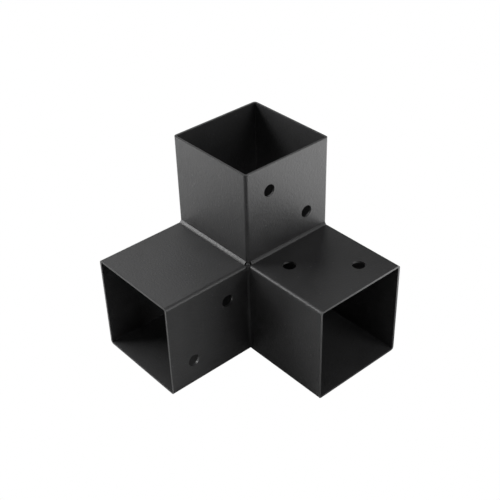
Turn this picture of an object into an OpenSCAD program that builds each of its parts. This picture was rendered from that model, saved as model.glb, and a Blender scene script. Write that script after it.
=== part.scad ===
// Square beam connector
// A corner connector for square timber beams. Three square sleeves of steel sheet meet at right angles
// round one open corner, are welded along the lines where they meet, and stand on the closed corner.
// Each sleeve takes one beam and has two screw holes on a diagonal of one wall.
// The upright sleeve runs along +Z, and the two level sleeves along +X and +Y. All sizes are in mm.

/* [Beams] */
// Width across the square beams that slide into the sleeves
beam_width = 89; // [60:0.5:140]
// Play between a beam and the wall, on each side
beam_play = 0.5; // [0.2:0.1:2]

/* [Steel sheet] */
// Thickness of the sheet
sheet = 2; // [1.2:0.1:4]
// Inside radius of the folds along the sleeves
fold_radius = 1; // [0.2:0.1:4]

/* [Sleeves] */
// Length of each sleeve from the corner box to its open rim
sleeve_length = 87.5; // [60:0.5:200]

/* [Welds] */
// Leg of the fillet welds in the three inner corners
weld_leg = 2; // [1:0.1:5]

/* [Screw holes] */
// Diameter of the screw holes
hole_diameter = 11.5; // [4:0.5:14]
// Distance from the side of a sleeve to the middle of the nearer hole
hole_side_inset = 25.5; // [12:0.5:28]
// Distance from the rim, and from the corner box, to the middle of the nearer hole
hole_end_inset = 24; // [12:0.5:28]

/* [Hidden] */
$fn = 64;
socket_width = beam_width + 2 * beam_play;
box_width = socket_width + 2 * sheet;
bend_radius = fold_radius + sheet;
box_middle = box_width / 2;
rim = box_middle + sleeve_length;
hole_offset = box_middle - hole_side_inset;
cut_margin = 2 * sheet;
coat_color = [0.07, 0.07, 0.075];

// Square with rounded corners, centred, as a sleeve is seen from its end
module sleeve_section(width, radius) {
    flat = width - 2 * radius;
    square([width, flat], center = true);
    square([flat, width], center = true);
    for (x = [-1, 1], y = [-1, 1])
        translate([x * flat / 2, y * flat / 2])
            circle(r = radius);
}

// Turns what is drawn on the upright sleeve, with its screw holes towards +Y, to all three sleeves
module on_each_sleeve() {
    children();
    rotate([0, 90, 0])
        children();
    rotate(180, [0, 1, 1])
        children();
}

// Cube with all its edges rounded: it closes the corner where the sleeves start
module corner_box(width, radius) {
    intersection_for (turn = [[0, 0, 0], [90, 0, 0], [0, 90, 0]])
        rotate(turn)
            linear_extrude(2 * width, center = true)
                sleeve_section(width, radius);
}

// The corner box with one bar of the same section running out of it in each of the three directions
module three_bars(width, radius, length) {
    corner_box(width, radius);
    on_each_sleeve()
        linear_extrude(length)
            sleeve_section(width, radius);
}

// Fillet weld between the upright and the sleeve along +X, let into both walls so that it joins them
module weld_run() {
    root = -sheet / 2;
    run = box_width - bend_radius;
    translate([box_middle, run / 2, box_middle])
        rotate([90, 0, 0])
            linear_extrude(run)
                polygon([[root, root], [weld_leg - root, root], [root, weld_leg - root]]);
}

// The three weld runs and the drop of weld that fills the point where they meet
module welds() {
    drop = box_middle - weld_leg / 2;
    for (turn = [0, 120, 240])
        rotate(turn, [1, 1, 1])
            weld_run();
    translate([drop, drop, drop])
        sphere(r = weld_leg);
}

// Two screw holes through the +Y wall of the upright, one near the corner box and one near the rim
module screw_holes() {
    places = [
        [-hole_offset, box_middle + hole_end_inset],
        [hole_offset, rim - hole_end_inset]
    ];
    for (place = places)
        translate([place.x, box_middle + cut_margin, place.y])
            rotate([90, 0, 0])
                cylinder(d = hole_diameter, h = sheet + 2 * cut_margin);
}

// The whole connector, lifted so that it stands on its closed corner
module connector() {
    color(coat_color)
        translate([0, 0, box_middle])
            difference() {
                union() {
                    difference() {
                        three_bars(box_width, bend_radius, rim);
                        three_bars(socket_width, fold_radius, rim + cut_margin);
                    }
                    welds();
                }
                on_each_sleeve()
                    screw_holes();
            }
}

connector();
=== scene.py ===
# %% [markdown]
# # A square beam connector in black powder coat
# The real part is a corner bracket for timber frames. Three square sleeves of 2 mm steel sheet meet round one
# corner, are welded where they meet, and the whole piece is powder-coated black. This lesson loads the
# measured model as a fixed frame, makes a finer mesh of the same part on top of it, and lights it softly.

# %% Load the frame
import math

import bpy
from mathutils import Matrix, Vector


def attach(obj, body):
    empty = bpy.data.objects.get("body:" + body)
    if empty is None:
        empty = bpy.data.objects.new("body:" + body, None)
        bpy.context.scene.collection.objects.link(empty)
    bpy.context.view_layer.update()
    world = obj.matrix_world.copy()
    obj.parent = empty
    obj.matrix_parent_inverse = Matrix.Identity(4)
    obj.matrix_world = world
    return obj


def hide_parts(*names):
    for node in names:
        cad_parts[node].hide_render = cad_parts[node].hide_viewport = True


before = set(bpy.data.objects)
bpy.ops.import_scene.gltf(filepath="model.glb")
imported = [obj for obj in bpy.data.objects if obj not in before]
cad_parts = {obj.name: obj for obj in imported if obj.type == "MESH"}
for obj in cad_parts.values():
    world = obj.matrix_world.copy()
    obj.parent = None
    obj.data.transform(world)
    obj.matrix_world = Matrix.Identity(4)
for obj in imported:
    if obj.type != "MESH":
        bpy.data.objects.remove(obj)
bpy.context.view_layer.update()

# %% [markdown]
# ## Sizes
# A sleeve's width follows from the beam: a dressed beam is 89 mm wide, it needs half a millimetre of play on
# each side, and the sheet goes round that. The result alone could be written down, but the rule shows which
# sizes belong together. Lengths, folds, welds and holes have sizes of their own. Blender works in metres, so
# a small factor turns the workshop's millimetres into metres.

# %% Sizes of the connector
mm = 0.001
beam_width = 89 * mm
beam_play = 0.5 * mm
sheet = 2 * mm
bend_radius = 3 * mm
sleeve_length = 87.5 * mm
weld_leg = 2 * mm
hole_diameter = 11.5 * mm
hole_side_inset = 25.5 * mm
hole_end_inset = 24 * mm
box_width = beam_width + 2 * beam_play + 2 * sheet
box_middle = box_width / 2
overall = box_width + sleeve_length
print("outside width", round(box_width / mm, 2), "mm, overall", round(overall / mm, 2), "mm")

# %% [markdown]
# ## Camera
# The photograph looks down at the inner corner from between the two level sleeves. A camera could be moved by
# hand until the picture looks right. Fitting is closer: a plain model of the three sleeves was projected
# through a pinhole camera, whose angles, place and lens were changed until corners and outline fell on those
# of the photograph. It leans by less than two degrees, so right and up are turned about the line of sight.

# %% Camera
def camera_axes(azimuth, elevation, lean):
    back = Vector((
        math.sin(azimuth) * math.cos(elevation),
        -math.cos(azimuth) * math.cos(elevation),
        math.sin(elevation),
    ))
    level_right = Vector((0, 0, 1)).cross(back).normalized()
    right = Matrix.Rotation(-lean, 3, back) @ level_right
    return right, back.cross(right), back


camera_angles = (139.585, 35.408, 1.70)
camera_place = Vector((461.88, 537.40, 566.56)) * mm
focal_length = 67.74
sensor_width = 36
camera_right, camera_up, camera_back = camera_axes(*(math.radians(angle) for angle in camera_angles))
camera_matrix = Matrix((camera_right, camera_up, camera_back)).transposed().to_4x4()
camera_matrix.translation = camera_place
camera = bpy.data.objects.new("camera", bpy.data.cameras.new("camera"))
bpy.context.scene.collection.objects.link(camera)
camera.matrix_world = camera_matrix
camera.data.sensor_width = sensor_width
camera.data.lens = focal_length
camera.data.dof.use_dof = False
bpy.context.scene.camera = camera
print("camera at", [round(c, 3) for c in camera.location])

# %% [markdown]
# ## Building node trees
# The sleeves, holes and welds repeat by a rule, so Geometry Nodes make them. A tree in a script is a list of
# nodes and links, and written out in full it would be long. One helper makes an empty tree with named
# inputs. Another adds a node and gives it its settings, values and links in a single call. A third ends a
# tree: it turns any instances into real faces, because the export drops instances, and gives them a coat.

# %% Helpers for node trees
def new_tree(name, inputs):
    tree = bpy.data.node_groups.new(name, "GeometryNodeTree")
    for label, kind in inputs:
        tree.interface.new_socket(label, in_out="INPUT", socket_type="NodeSocket" + kind)
    tree.interface.new_socket("Geometry", in_out="OUTPUT", socket_type="NodeSocketGeometry")
    return tree, tree.nodes.new("NodeGroupInput").outputs, tree.nodes.new("NodeGroupOutput").inputs


def add(tree, kind, links=None, values=None, **settings):
    node = tree.nodes.new(kind)
    for name, setting in settings.items():
        setattr(node, name, setting)
    for socket, value in (values or {}).items():
        node.inputs[socket].default_value = value
    for socket, sources in (links or {}).items():
        for source in sources if isinstance(sources, list) else [sources]:
            tree.links.new(source, node.inputs[socket])
    return node


def real_and_coated(tree, geometry, coat):
    real = add(tree, "GeometryNodeRealizeInstances", {"Geometry": geometry})
    return add(tree, "GeometryNodeSetMaterial", {"Geometry": real.outputs[0], "Material": coat}).outputs[0]


print("tree helpers", new_tree.__name__, add.__name__, real_and_coated.__name__)

# %% [markdown]
# ## From a tree to a plain mesh
# A tree works as a modifier on an object. Its inputs are set by their identifiers, before Blender looks at
# the object for the first time. The result then becomes a plain mesh and the modifiers go, because the export
# takes meshes only. Shapes that start inside a tree bring empty material slots along, and those go too.

# %% Helpers for pieces
def new_piece(name):
    piece = bpy.data.objects.new(name, bpy.data.meshes.new(name))
    bpy.context.scene.collection.objects.link(piece)
    return piece


def add_tree(piece, tree, **inputs):
    modifier = piece.modifiers.new(tree.name, "NODES")
    modifier.node_group = tree
    for item in tree.interface.items_tree:
        word = item.name.lower().replace(" ", "_")
        if item.in_out == "INPUT" and word in inputs:
            modifier[item.identifier] = inputs[word]


def make_plain(piece):
    bpy.context.view_layer.update()
    ready = piece.evaluated_get(bpy.context.evaluated_depsgraph_get())
    mesh = bpy.data.meshes.new_from_object(ready)
    piece.modifiers.clear()
    piece.data = mesh
    mesh.name = piece.name
    for index in reversed(range(len(mesh.materials))):
        if mesh.materials[index] is None:
            mesh.materials.pop(index=index)
    print(piece.name, len(mesh.vertices), "vertices,", len(mesh.polygons), "faces")


print("piece helpers", new_piece.__name__, add_tree.__name__, make_plain.__name__)

# %% [markdown]
# ## Coat grain
# Powder coat is sprayed on dry and melts into a skin about a tenth of a millimetre thick. It is satin black
# with a fine grain, over a waviness like orange peel, and here and there a grain of dust melted in as a nib.
# All this could be modelled, but it is far finer than any mesh, so it goes into a shader group that puts out
# a height, a roughness, a tone and a mask of nibs. Every coat on the part uses it with its own amounts.

# %% Helpers for the coat grain
def set_or_link(group, value, socket):
    if isinstance(value, float):
        socket.default_value = value
    else:
        group.links.new(value, socket)


def coat_noise(group, spot, detail, scale):
    node = add(group, "ShaderNodeTexNoise", {"Vector": spot}, {"Detail": detail})
    set_or_link(group, scale, node.inputs["Scale"])
    return node.outputs[0]


def times_plus(group, first, factor, last):
    node = add(group, "ShaderNodeMath", {0: first, 2: last}, operation="MULTIPLY_ADD")
    set_or_link(group, factor, node.inputs[1])
    return node.outputs[0]


print("coat helpers", set_or_link.__name__, coat_noise.__name__, times_plus.__name__)

# %% Coat grain group
cloud_scale = 60.0
cloud_share = 0.3
roughness_spread = 0.1
tone_limits = {"From Min": 0.4, "From Max": 0.9}
nib_limits = {"From Min": 0.05, "From Max": 0.10, "To Min": 1.0, "To Max": 0.0}


def coat_grain_group():
    group = bpy.data.node_groups.new("coat grain", "ShaderNodeTree")
    for label in ("Grain Size", "Wave Size", "Wave Share", "Nib Spacing", "Middle Roughness"):
        group.interface.new_socket(label, in_out="INPUT", socket_type="NodeSocketFloat")
    for label in ("Height", "Roughness", "Tone", "Nibs"):
        group.interface.new_socket(label, in_out="OUTPUT", socket_type="NodeSocketFloat")
    given = group.nodes.new("NodeGroupInput").outputs
    result = group.nodes.new("NodeGroupOutput").inputs
    spot = add(group, "ShaderNodeTexCoord").outputs["Object"]

    def scale_for(size):
        return add(group, "ShaderNodeMath", {1: given[size]}, {0: 1.0}, operation="DIVIDE").outputs[0]

    grain = coat_noise(group, spot, detail=2.0, scale=scale_for("Grain Size"))
    wave = coat_noise(group, spot, detail=1.0, scale=scale_for("Wave Size"))
    cloud = coat_noise(group, spot, detail=4.0, scale=cloud_scale)
    cells = add(group, "ShaderNodeTexVoronoi", {"Vector": spot, "Scale": scale_for("Nib Spacing")})
    nibs = add(
        group,
        "ShaderNodeMapRange",
        {"Value": cells.outputs["Distance"]},
        nib_limits,
        interpolation_type="SMOOTHSTEP",
    ).outputs[0]
    peel = times_plus(group, wave, given["Wave Share"], grain)
    height = add(group, "ShaderNodeMath", {0: peel, 1: nibs}, operation="ADD").outputs[0]
    smoothest = add(
        group,
        "ShaderNodeMath",
        {0: given["Middle Roughness"]},
        {1: roughness_spread / 2},
        operation="SUBTRACT",
    ).outputs[0]
    rough = times_plus(group, cloud, roughness_spread, smoothest)
    blotch = times_plus(group, cloud, cloud_share, grain)
    tone = add(group, "ShaderNodeMapRange", {"Value": blotch}, tone_limits).outputs[0]
    for label, output in (("Height", height), ("Roughness", rough), ("Tone", tone), ("Nibs", nibs)):
        group.links.new(output, result[label])
    return group


coat_grain = coat_grain_group()
coat_outputs = [item.name for item in coat_grain.interface.items_tree if item.in_out == "OUTPUT"]
print("group", coat_grain.name, "gives", coat_outputs)

# %% [markdown]
# ## Coats
# Three coats are made for the part. The walls outside are smooth, and the welds a little rougher. Inside the
# sleeves and in the upright corner in front the photograph looks duller, and the third coat is painted shade
# there: a copy of the wall coat with weaker, rougher reflections, whose slightly lighter tone adds a little
# painted light in the deepest places. Each coat could be a material built by hand, but one function makes all
# three, so that only the amounts differ.

# %% Coat materials
grain_size = 0.5 * mm
wave_share = 2.0
nib_spacing = 8 * mm
nib_grey = (0.04, 0.04, 0.04, 1)
blue_tint = 1.03


def coat_material(name, tones, roughness, wave_size, bump_depth, ior):
    material = bpy.data.materials.new(name)
    material.use_nodes = True
    tree = material.node_tree
    shader = tree.nodes["Principled BSDF"]
    amounts = {
        "Grain Size": grain_size,
        "Wave Size": wave_size,
        "Wave Share": wave_share,
        "Nib Spacing": nib_spacing,
        "Middle Roughness": roughness,
    }
    grain = add(tree, "ShaderNodeGroup", node_tree=coat_grain)
    for label, amount in amounts.items():
        grain.inputs[label].default_value = amount
    tint = add(tree, "ShaderNodeMix", {"Factor": grain.outputs["Tone"]}, data_type="RGBA")
    for end, tone in zip("AB", tones):
        tint.inputs[end].default_value = (tone, tone, tone * blue_tint, 1)
    dusty = add(tree, "ShaderNodeMix", {"Factor": grain.outputs["Nibs"]}, data_type="RGBA")
    dusty.inputs["B"].default_value = nib_grey
    tree.links.new(tint.outputs["Result"], dusty.inputs["A"])
    bump = add(tree, "ShaderNodeBump", {"Height": grain.outputs["Height"]}, {"Distance": bump_depth})
    tree.links.new(dusty.outputs["Result"], shader.inputs["Base Color"])
    tree.links.new(grain.outputs["Roughness"], shader.inputs["Roughness"])
    tree.links.new(bump.outputs["Normal"], shader.inputs["Normal"])
    shader.inputs["IOR"].default_value = ior
    return material


black = (0.010, 0.030)
# Tones of the third coat, painted shade for the recesses, a little lighter than the wall black
dull_black = (0.015, 0.032)
wall_coat = coat_material(
    "wall coat", black, roughness=0.44, wave_size=2 * mm, bump_depth=0.068 * mm, ior=1.5
)
weld_coat = coat_material(
    "weld coat", black, roughness=0.48, wave_size=2.5 * mm, bump_depth=0.07 * mm, ior=1.5
)
# Painted shade: the same coat with weaker, duller reflections, put on the insides and the front joint
inner_coat = coat_material(
    "inner coat", dull_black, roughness=0.70, wave_size=2 * mm, bump_depth=0.08 * mm, ior=1.35
)
print("materials", wall_coat.name, weld_coat.name, inner_coat.name)

# %% [markdown]
# ## Skin
# A sheet-metal worker folds flat sheet; in Blender the same form is quickest from a cube. Three of its sides
# are pulled out by the length of a sleeve and their ends are taken off. The tree also marks the edges that
# stand out, because those are folds, and leaves the inner corners alone, because those are welded.

# %% Skin tree
facing_limit = 0.5
fold_angle = 0.5


def skin_tree():
    inputs = [("Box Width", "Float"), ("Sleeve Length", "Float"), ("Wall Coat", "Material")]
    tree, given, result = new_tree("connector skin", inputs)
    size = add(tree, "ShaderNodeCombineXYZ", {axis: given["Box Width"] for axis in "XYZ"})
    cube = add(tree, "GeometryNodeMeshCube", {"Size": size.outputs[0]})
    normal = add(tree, "GeometryNodeInputNormal")
    outward = add(
        tree, "ShaderNodeVectorMath", {0: normal.outputs[0]}, {1: (1, 1, 1)}, operation="DOT_PRODUCT"
    ).outputs["Value"]
    open_sides = add(
        tree, "FunctionNodeCompare", {"A": outward}, {"B": facing_limit}, operation="GREATER_THAN"
    ).outputs[0]
    sleeves = add(
        tree,
        "GeometryNodeExtrudeMesh",
        {"Mesh": cube.outputs[0], "Selection": open_sides, "Offset Scale": given["Sleeve Length"]},
        {"Individual": True},
    ).outputs
    mouths = add(
        tree,
        "GeometryNodeDeleteGeometry",
        {"Geometry": sleeves["Mesh"], "Selection": sleeves["Top"]},
        domain="FACE",
    )
    angle = add(tree, "GeometryNodeInputMeshEdgeAngle").outputs["Signed Angle"]
    folds = add(tree, "FunctionNodeCompare", {"A": angle}, {"B": fold_angle}, operation="GREATER_THAN")
    marked = add(
        tree,
        "GeometryNodeStoreNamedAttribute",
        {"Geometry": mouths.outputs[0], "Value": folds.outputs[0]},
        {"Name": "bevel_weight_edge"},
        data_type="FLOAT",
        domain="EDGE",
    )
    half = add(tree, "ShaderNodeMath", {0: given["Box Width"]}, {1: 0.5}, operation="MULTIPLY")
    lift = add(tree, "ShaderNodeCombineXYZ", {"Z": half.outputs[0]})
    standing = add(
        tree, "GeometryNodeTransform", {"Geometry": marked.outputs[0], "Translation": lift.outputs[0]}
    )
    coated = real_and_coated(tree, standing.outputs[0], given["Wall Coat"])
    tree.links.new(coated, result["Geometry"])
    return tree


shell = new_piece("connector_shell")
add_tree(shell, skin_tree(), box_width=box_width, sleeve_length=sleeve_length, wall_coat=wall_coat)
print("skin tree on", shell.name)

# %% [markdown]
# ## Folds and sheet
# The edges of the real sleeves are rounded, as folding leaves them. The folds could be drawn as arcs, but two
# modifiers make them from two sizes: one rounds the marked edges to the outside radius, and one thickens the
# skin inwards. In this order the radius inside is smaller by the sheet, as in a real fold.

# %% Fold the edges and give the skin its thickness
folds = shell.modifiers.new("folds", "BEVEL")
folds.limit_method = "WEIGHT"
folds.width = bend_radius
folds.segments = 6
steel = shell.modifiers.new("sheet", "SOLIDIFY")
steel.thickness = sheet
steel.offset = -1
steel.use_even_offset = True
steel.use_quality_normals = True
print("fold radius", bend_radius / mm, "mm outside, sheet", sheet / mm, "mm")

# %% [markdown]
# ## Inside and outside
# The inside of the sleeves gets the coat of painted shade, so the tree must know which faces are inside. They
# could be picked by hand, but a rule survives a change of size: a face is inside if its middle lies in the
# path of one of the three beams. The limit lies a quarter of the sheet into the wall, clear of rims and
# bores.

# %% Mask of the inside faces
def inside_mask(tree, width, middle):
    def both(first, second):
        return add(tree, "FunctionNodeBooleanMath", {0: first, 1: second}, operation="AND").outputs[0]

    def either(first, second):
        return add(tree, "FunctionNodeBooleanMath", {0: first, 1: second}, operation="OR").outputs[0]

    def less(value, limit):
        return add(tree, "FunctionNodeCompare", {"A": value, "B": limit}, operation="LESS_THAN").outputs[0]

    def flip(value):
        return add(tree, "ShaderNodeMath", {0: value}, {1: -1.0}, operation="MULTIPLY").outputs[0]

    half = add(tree, "ShaderNodeMath", {0: width}, {1: 0.5}, operation="MULTIPLY").outputs[0]
    position = add(tree, "GeometryNodeInputPosition").outputs[0]
    from_middle = add(tree, "ShaderNodeVectorMath", {0: position, 1: middle}, operation="SUBTRACT")
    parts = add(tree, "ShaderNodeSeparateXYZ", {0: from_middle.outputs[0]}).outputs
    below = [less(part, half) for part in parts]
    above = [less(flip(part), half) for part in parts]
    within = both(both(above[0], above[1]), above[2])
    level_x = both(below[1], below[2])
    level_y = both(below[0], below[2])
    upright = both(below[0], below[1])
    return both(within, either(either(level_x, level_y), upright))


mask_depth = sheet / 4
inside_width = box_width - 2 * (sheet - mask_depth)
print("inside faces lie within", round(inside_width / mm, 2), "mm")

# %% [markdown]
# ## Screw holes
# Each sleeve has the same pair of holes on one wall, one near the corner and one near the rim, on a diagonal.
# The pair is drawn once on the upright and turned to the other two sleeves, so all six stay alike. A boolean
# drills them, because the wall is flat there and a true round hole is wanted through its full thickness.

# %% Drills for all three sleeves
drill_sides = 64
sleeve_turns = (((0, 1, 0), 0), ((0, 1, 0), math.pi / 2), ((0, 1, 1), math.pi))


def drills(tree, given):
    radius = add(tree, "ShaderNodeMath", {0: given["Diameter"]}, {1: 0.5}, operation="MULTIPLY").outputs[0]
    drill = add(
        tree,
        "GeometryNodeMeshCylinder",
        {"Radius": radius, "Depth": given["Diameter"]},
        {"Vertices": drill_sides},
    ).outputs["Mesh"]
    pair = [
        add(
            tree,
            "GeometryNodeTransform",
            {"Geometry": drill, "Translation": given[hole]},
            {"Rotation": (math.pi / 2, 0, 0)},
        ).outputs[0]
        for hole in ("Inner Hole", "Outer Hole")
    ]
    joined = add(tree, "GeometryNodeJoinGeometry", {"Geometry": pair}).outputs[0]
    turned = []
    for axis, angle in sleeve_turns:
        turn = add(tree, "FunctionNodeAxisAngleToRotation", None, {"Axis": axis, "Angle": angle}).outputs[0]
        aimed = add(tree, "GeometryNodeTransform", {"Geometry": joined, "Rotation": turn}).outputs[0]
        placed = add(
            tree, "GeometryNodeTransform", {"Geometry": aimed, "Translation": given["Turning Point"]}
        )
        turned.append(placed.outputs[0])
    return turned


print("drills for", len(sleeve_turns), "sleeves, two in each")

# %% [markdown]
# ## Drilled and coated
# In a workshop the holes come before the coat, and this tree keeps that order. Loose cylinders and a boolean
# modifier could cut the holes too, but inside one tree the drills need no objects of their own. The wall coat
# goes on every face, and the mask then gives the faces inside the coat of painted shade.

# %% Screw hole tree
def screw_hole_tree():
    inputs = [
        ("Geometry", "Geometry"),
        ("Diameter", "Float"),
        ("Inner Hole", "Vector"),
        ("Outer Hole", "Vector"),
        ("Turning Point", "Vector"),
        ("Inside Width", "Float"),
        ("Wall Coat", "Material"),
        ("Inner Coat", "Material"),
    ]
    tree, given, result = new_tree("screw holes", inputs)
    drilled = add(
        tree,
        "GeometryNodeMeshBoolean",
        {"Mesh 1": given["Geometry"], "Mesh 2": drills(tree, given)},
        operation="DIFFERENCE",
        solver="MANIFOLD",
    )
    smooth = add(tree, "GeometryNodeSetShadeSmooth", {"Geometry": drilled.outputs["Mesh"]})
    coated = real_and_coated(tree, smooth.outputs[0], given["Wall Coat"])
    inside = inside_mask(tree, given["Inside Width"], given["Turning Point"])
    # The faces inside get the coat of painted shade
    lined = add(
        tree,
        "GeometryNodeSetMaterial",
        {"Geometry": coated, "Selection": inside, "Material": given["Inner Coat"]},
    )
    tree.links.new(lined.outputs[0], result["Geometry"])
    return tree


hole_offset = box_middle - hole_side_inset
wall_middle = box_middle - sheet / 2
add_tree(
    shell,
    screw_hole_tree(),
    diameter=hole_diameter,
    inner_hole=(-hole_offset, wall_middle, box_middle + hole_end_inset),
    outer_hole=(hole_offset, wall_middle, box_middle + sleeve_length - hole_end_inset),
    turning_point=(0, 0, box_middle),
    inside_width=inside_width,
    wall_coat=wall_coat,
    inner_coat=inner_coat,
)
print("holes", round(2 * hole_offset / mm, 2), "mm apart across the sleeve")

# %% [markdown]
# ## Soft rims
# Cut edges are never perfectly sharp, and a coat rounds them further. They could be left sharp, but a narrow
# bevel on every sharp edge catches a thin line of light along the rims and round the holes, which is what
# makes the sheet's thickness readable in the photograph. Weighted normals then keep the flat walls flat.

# %% Soften the rims and finish the shell
rim_width = 0.35 * mm
sharp_angle = math.radians(50)
soft = shell.modifiers.new("soft rims", "BEVEL")
soft.limit_method = "ANGLE"
soft.angle_limit = sharp_angle
soft.width = rim_width
soft.segments = 2
soft.use_clamp_overlap = True
flat_walls = shell.modifiers.new("flat walls", "WEIGHTED_NORMAL")
flat_walls.keep_sharp = False
make_plain(shell)

# %% [markdown]
# ## Sections of the weld beads
# A fillet weld fills each of the three inner corners. A bead could be modelled by hand, but it has one
# section all along, so a line can be swept with it. The two upper beads are round: an ellipse lies across the
# corner, most of it sunk into the walls. The upright joint in front shows no raised bead in the photograph,
# so its face is taken as hollow: there the section is a star with four points, and its two outer points run
# out thin along the walls.

# %% Sections of the beads
round_points = 24
bead_flatness = (0.575, 1.5, 1.0)
bead_rise = 0.2
hollow_points = 48
hollow_rise = 0.1 * mm


def round_section(tree, leg):
    circle = add(tree, "GeometryNodeCurvePrimitiveCircle", {"Radius": leg}, {"Resolution": round_points})
    rise = add(tree, "ShaderNodeMath", {0: leg}, {1: bead_rise}, operation="MULTIPLY")
    outward = add(tree, "ShaderNodeCombineXYZ", {"X": rise.outputs[0]})
    return add(
        tree,
        "GeometryNodeTransform",
        {"Geometry": circle.outputs[0], "Translation": outward.outputs[0]},
        {"Scale": bead_flatness},
    ).outputs[0]


def hollow_section(tree, leg):
    unit = {"Resolution": hollow_points, "Radius": 1.0}
    circle = add(tree, "GeometryNodeCurvePrimitiveCircle", None, unit)
    position = add(tree, "GeometryNodeInputPosition").outputs[0]
    squared = add(tree, "ShaderNodeVectorMath", {0: position, 1: position}, operation="MULTIPLY").outputs[0]
    cubed = add(tree, "ShaderNodeVectorMath", {0: squared, 1: position}, operation="MULTIPLY").outputs[0]
    sized = add(tree, "ShaderNodeVectorMath", {0: cubed, "Scale": leg}, operation="SCALE").outputs[0]
    star = add(tree, "GeometryNodeSetPosition", {"Geometry": circle.outputs[0], "Position": sized})
    return add(
        tree,
        "GeometryNodeTransform",
        {"Geometry": star.outputs[0]},
        {"Rotation": (0, 0, math.pi / 4), "Translation": (hollow_rise, 0, 0)},
    ).outputs[0]


bead_sections = {"Left": round_section, "Front": hollow_section, "Right": round_section}
print("beads", list(bead_sections))

# %% [markdown]
# ## Weld runs
# A real bead is laid along the joint by hand and is a little uneven. Each run could be placed by itself, but
# the three joints are alike: turned by a third about the corner's diagonal, each falls on the next. So every
# run is swept along one line with its own section and turned to its joint. Slow noise makes it thicker and
# thinner by a fiftieth.

# %% Path and unevenness of a bead
bead_steps = 120
sway_scale = 300.0
sway_limits = {"From Min": 0.3, "From Max": 0.7, "To Min": 0.98, "To Max": 1.02}


def bead_path(tree, start, end):
    line = add(tree, "GeometryNodeCurvePrimitiveLine", {"Start": start, "End": end})
    steps = add(tree, "GeometryNodeResampleCurve", {"Curve": line.outputs[0]}, {"Count": bead_steps})
    return add(
        tree, "GeometryNodeSetCurveNormal", {"Curve": steps.outputs[0]}, {"Normal": (1, 0, 1)}, mode="FREE"
    ).outputs[0]


def bead_sway(tree):
    noise = add(tree, "ShaderNodeTexNoise", None, {"Scale": sway_scale, "Detail": 2.0})
    return add(tree, "ShaderNodeMapRange", {"Value": noise.outputs[0]}, sway_limits).outputs[0]


print("a bead has", bead_steps, "steps")

# %% Beads along the joints
def beads(tree, given):
    path = bead_path(tree, given["Start"], given["End"])
    sway = bead_sway(tree)
    runs = []
    for number, (joint, make_section) in enumerate(bead_sections.items()):
        section = make_section(tree, given[joint + " Leg"])
        bead = add(
            tree,
            "GeometryNodeCurveToMesh",
            {"Curve": path, "Profile Curve": section, "Scale": sway},
            {"Fill Caps": True},
        ).outputs[0]
        angle = number * math.tau / len(bead_sections)
        turn = add(tree, "FunctionNodeAxisAngleToRotation", None, {"Axis": (1, 1, 1), "Angle": angle})
        turned = add(
            tree,
            "GeometryNodeTransform",
            {"Geometry": bead, "Rotation": turn.outputs[0], "Translation": given[joint + " Climb"]},
        )
        runs.append(turned.outputs[0])
    return runs


print("beads are turned by", round(360 / len(bead_sections)), "degrees")

# %% [markdown]
# ## Weld tree
# A drop of weld fills the point where the three runs meet, and here it is simply a ball. The upper runs have
# the coat of the welds. The upright run in front lies in the inner corner and looks duller in the photograph,
# so it gets the painted shade coat of the inside. Its faces could be picked by hand, but a height tells them
# apart by rule.

# %% Weld tree
ball_rings = 16


def weld_tree():
    inputs = [("Start", "Vector"), ("End", "Vector")]
    inputs += [(joint + " Leg", "Float") for joint in bead_sections]
    inputs += [(joint + " Climb", "Vector") for joint in bead_sections]
    inputs += [
        ("Drop Radius", "Float"),
        ("Drop Place", "Vector"),
        ("Turning Point", "Vector"),
        ("Dull Below", "Float"),
        ("Weld Coat", "Material"),
        ("Dull Coat", "Material"),
    ]
    tree, given, result = new_tree("weld runs", inputs)
    ball = add(
        tree,
        "GeometryNodeMeshUVSphere",
        {"Radius": given["Drop Radius"]},
        {"Segments": 2 * ball_rings, "Rings": ball_rings},
    ).outputs["Mesh"]
    drop = add(tree, "GeometryNodeTransform", {"Geometry": ball, "Translation": given["Drop Place"]})
    runs = add(tree, "GeometryNodeJoinGeometry", {"Geometry": beads(tree, given) + [drop.outputs[0]]})
    placed = add(
        tree, "GeometryNodeTransform", {"Geometry": runs.outputs[0], "Translation": given["Turning Point"]}
    )
    smooth = add(tree, "GeometryNodeSetShadeSmooth", {"Geometry": placed.outputs[0]})
    coated = real_and_coated(tree, smooth.outputs[0], given["Weld Coat"])
    # The front run, below the given height, gets the coat of painted shade
    position = add(tree, "GeometryNodeInputPosition").outputs[0]
    height = add(tree, "ShaderNodeSeparateXYZ", {0: position}).outputs["Z"]
    low = add(tree, "FunctionNodeCompare", {"A": height, "B": given["Dull Below"]}, operation="LESS_THAN")
    dulled = add(
        tree,
        "GeometryNodeSetMaterial",
        {"Geometry": coated, "Selection": low.outputs[0], "Material": given["Dull Coat"]},
    )
    tree.links.new(dulled.outputs[0], result["Geometry"])
    return tree


print("weld tree joins", len(bead_sections), "beads and a drop")

# %% [markdown]
# ## Welds
# In the photograph the beads stop just before the outer folds. The right bead is thinner than the left one,
# both lie a little way up the upright, and the front bead starts above the fold at the floor. These sizes
# could be fixed inside the tree, but as its inputs they stand together and are easy to change.

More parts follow.
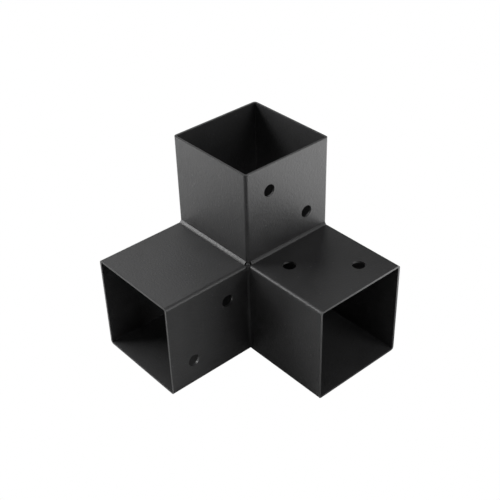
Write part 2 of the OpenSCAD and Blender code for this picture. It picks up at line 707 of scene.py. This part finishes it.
# %% Welds
weld_end_gap = 0.85 * bend_radius
weld_reach = box_middle - weld_end_gap
right_leg = 0.8 * weld_leg
left_climb = 0.7 * mm
front_climb = 2 * mm
right_climb = 1.3 * mm
drop_middle = box_middle - weld_leg / 2
welds = new_piece("weld_runs")
add_tree(
    welds,
    weld_tree(),
    start=(box_middle, -weld_reach, box_middle),
    end=(box_middle, weld_reach, box_middle),
    left_leg=weld_leg,
    front_leg=weld_leg,
    right_leg=right_leg,
    left_climb=(0, 0, left_climb),
    front_climb=(0, 0, front_climb),
    right_climb=(0, 0, right_climb),
    drop_radius=weld_leg,
    drop_place=(drop_middle, drop_middle, drop_middle + left_climb),
    turning_point=(0, 0, box_middle),
    # below this height the front run gets the painted shade coat
    dull_below=box_width - 2 * weld_leg,
    weld_coat=weld_coat,
    dull_coat=inner_coat,
)
make_plain(welds)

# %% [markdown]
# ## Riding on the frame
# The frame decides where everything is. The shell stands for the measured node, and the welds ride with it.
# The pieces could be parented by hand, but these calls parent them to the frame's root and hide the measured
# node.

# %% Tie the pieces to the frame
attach(shell, "root")
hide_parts("connector")
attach(welds, "root")
print("pieces", shell.name, welds.name)

# %% [markdown]
# ## Floor
# The photograph stands on plain white. A white floor matters even where it is not seen, because black paint
# shows little but reflections: the sides of the upright mirror the bright floor further out, and the inner
# corner mirrors the floor in the part's own shade. For the camera the floor is an even white, as in a
# cut-out product picture, and for every other ray it is white paper, so a Light Path node chooses.

# %% Floor
floor_width = 8
floor_drop = 0.2 * mm
paper_white = (0.8, 0.8, 0.8, 1)


def floor_material():
    material = bpy.data.materials.new("white floor")
    material.use_nodes = True
    tree = material.node_tree
    paper = tree.nodes["Principled BSDF"]
    paper.inputs["Base Color"].default_value = paper_white
    paper.inputs["Roughness"].default_value = 1.0
    paper.inputs["Specular IOR Level"].default_value = 0.0
    seen = add(tree, "ShaderNodeEmission", None, {"Color": (1, 1, 1, 1), "Strength": 1.0})
    ray = add(tree, "ShaderNodeLightPath")
    chosen = add(
        tree,
        "ShaderNodeMixShader",
        {"Fac": ray.outputs["Is Camera Ray"], 1: paper.outputs[0], 2: seen.outputs[0]},
    )
    tree.links.new(chosen.outputs[0], tree.nodes["Material Output"].inputs["Surface"])
    return material


bpy.ops.mesh.primitive_plane_add(size=floor_width, location=(0, 0, -floor_drop))
floor = bpy.context.object
floor.name = "floor"
floor.data.materials.append(floor_material())
print("floor", floor.dimensions.x, "m wide")

# %% [markdown]
# ## Lamps
# A black coat shows its lamps, so each lamp is a soft box: an even, square light that is not seen itself. A
# box is given by its turn from the camera's direction, its rise above the floor and its brightness next to
# white paper. A panel lies on the floor and shines up, and is given by its place ahead of the part and to
# its right. Glowing planes could do the same, but an area light needs no mesh or material of its own.

# %% Helpers for lamps
level_view = Vector((camera_back.x, camera_back.y, 0)).normalized()
level_right = Vector((0, 0, 1)).cross(level_view)
part_middle = Vector((30, 30, 80)) * mm
box_distance = 1.2


def lamp(name, place, width, height, brightness):
    light = bpy.data.lights.new(name, "AREA")
    light.shape = "RECTANGLE"
    light.size = width
    light.size_y = height
    light.energy = math.pi * width * height * brightness
    holder = bpy.data.objects.new(name, light)
    holder.location = place
    holder.visible_camera = False
    bpy.context.scene.collection.objects.link(holder)
    return holder


def soft_box(name, turn, rise, brightness, size=0.5):
    turn, rise = math.radians(turn), math.radians(rise)
    level = level_view * math.cos(turn) + level_right * math.sin(turn)
    toward_box = level * math.cos(rise) + Vector((0, 0, math.sin(rise)))
    holder = lamp(name, part_middle + toward_box * box_distance, size, size, brightness)
    holder.rotation_euler = toward_box.to_track_quat("Z", "Y").to_euler()


def floor_panel(name, ahead, right, depth, width, brightness):
    holder = lamp(name, level_view * ahead + level_right * right, depth, width, brightness)
    holder.rotation_euler = (math.pi, 0, math.atan2(level_view.y, level_view.x))


print("soft boxes stand", box_distance, "m from the part")

# %% [markdown]
# ## Light
# The boxes stand round the part: strong at the left and right, weaker behind. None stands low in front, so
# the inner corner stays dark. One hangs high in front and lights the walls inside the two level mouths;
# straight above the part it would shine down the upright, and a dark screw hole would turn grey. The sides of
# the upright mirror the panels on the floor. The Standard view shows the greys as the lights make them.

# %% Light
soft_box("low right box", turn=60, rise=12, brightness=6)
soft_box("high right box", turn=70, rise=38, brightness=2.4)
soft_box("low left box", turn=-120, rise=12, brightness=12.5)
soft_box("high left box", turn=-97, rise=32, brightness=17, size=0.4)
soft_box("back left box", turn=-150, rise=38, brightness=2.0)
soft_box("back right box", turn=126, rise=58, brightness=1.9)
soft_box("back box", turn=180, rise=38, brightness=1.25)
soft_box("high back box", turn=-132, rise=62, brightness=2.7)
soft_box("high front box", turn=0, rise=62, brightness=2.1, size=0.6)
floor_panel("near right panel", ahead=0.075, right=0.35, depth=0.65, width=0.30, brightness=2.1)
floor_panel("far right panel", ahead=0.05, right=0.75, depth=0.60, width=0.40, brightness=7.8)
floor_panel("far left panel", ahead=0.05, right=-0.75, depth=0.60, width=0.40, brightness=4.2)
bpy.context.scene.view_settings.view_transform = "Standard"

# %% [markdown]
# ## Black card
# The rounded front edge of the upright mirrors the floor just in front of the part, and in the photograph it
# is darker than the walls on both sides of it. A studio can give such an edge its dark line with a black
# card.
# Whether one was used is not known. Here a card on the floor, which the camera does not see, does it: a black
# sheet as painted shade, standing in for shade on the floor in front of the part, seen only in reflections.

# %% Black card
card_near = 0.19
card_far = 0.42
card_half = 0.13
card_drop = floor_drop / 2
# Painted shade: a black sheet seen only in reflections, in place of shade on the floor in front
card_black = (0.02, 0.02, 0.02, 1)
card_outline = [
    (card_near, -card_half),
    (card_far, -card_half),
    (card_far, card_half),
    (card_near, card_half),
]
card_corners = [
    level_view * ahead + level_right * right - Vector((0, 0, card_drop)) for ahead, right in card_outline
]
card_mesh = bpy.data.meshes.new("black_card")
card_mesh.from_pydata(card_corners, [], [(0, 1, 2, 3)])
card_paper = bpy.data.materials.new("black card")
card_paper.use_nodes = True
card_shader = card_paper.node_tree.nodes["Principled BSDF"]
card_shader.inputs["Base Color"].default_value = card_black
card_shader.inputs["Specular IOR Level"].default_value = 0.0
card_mesh.materials.append(card_paper)
card = bpy.data.objects.new("black_card", card_mesh)
card.visible_camera = False
bpy.context.scene.collection.objects.link(card)
print("card", round(2 * card_half, 2), "by", round(card_far - card_near, 2), "m")

# %% [markdown]
# ## Background
# Beyond the floor the picture is white too. The world could light the part from all round, but then the dark
# coat would lose its contrast, so the world is white for the camera alone and black for every other ray.

# %% Background
world = bpy.data.worlds.new("white room")
world.use_nodes = True
sky = world.node_tree.nodes["Background"]
sky.inputs["Color"].default_value = (1, 1, 1, 1)
world_ray = add(world.node_tree, "ShaderNodeLightPath")
world.node_tree.links.new(world_ray.outputs["Is Camera Ray"], sky.inputs["Strength"])
bpy.context.scene.world = world
print("world", world.name)
